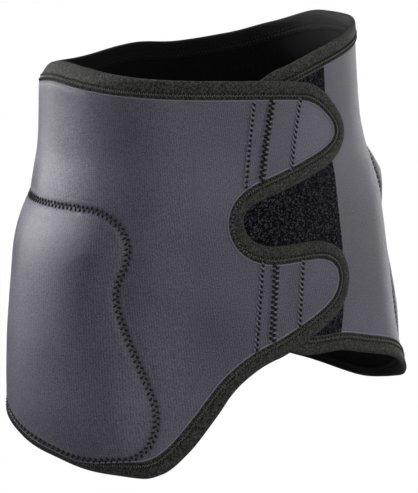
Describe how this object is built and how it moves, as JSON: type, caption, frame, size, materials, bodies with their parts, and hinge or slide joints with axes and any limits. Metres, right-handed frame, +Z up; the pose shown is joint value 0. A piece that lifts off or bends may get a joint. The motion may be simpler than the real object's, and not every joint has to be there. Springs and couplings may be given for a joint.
{
  "type": "hip protector",
  "caption": "Wrap-around hip protector: a bound neoprene wrap with two rounded closing tabs, a loop panel and a padded panel on each hip.",
  "frame": {"origin": "centre of the hollow at hip level, where the wearer's hips sit", "axes": "+Z up towards the waist, +X to the wearer's left, -Y to the front, where the wrap closes"},
  "size_m": [0.3711, 0.2499, 0.3338],
  "materials": {
    "neoprene": "slate grey knit face on neoprene foam, matt with a soft sheen",
    "panel_cloth": "slate grey knit face on neoprene foam, matt with a soft sheen",
    "foam": "dark knit-lined soft foam",
    "binding_tape": "greenish black stretch edge tape, soft, with zigzag stitching",
    "loop_pile": "black brushed loop pile",
    "hook_tape": "black hook tape"
  },
  "bodies": {
    "root": {"body_wrap": "neoprene", "hip_panel_right": "panel_cloth", "hip_panel_left": "panel_cloth", "hip_pad_right": "foam", "hip_pad_left": "foam", "edge_binding": "binding_tape", "loop_panel": "loop_pile", "hook_patch_upper": "hook_tape", "hook_patch_lower": "hook_tape"}
  },
  "joints": []
}
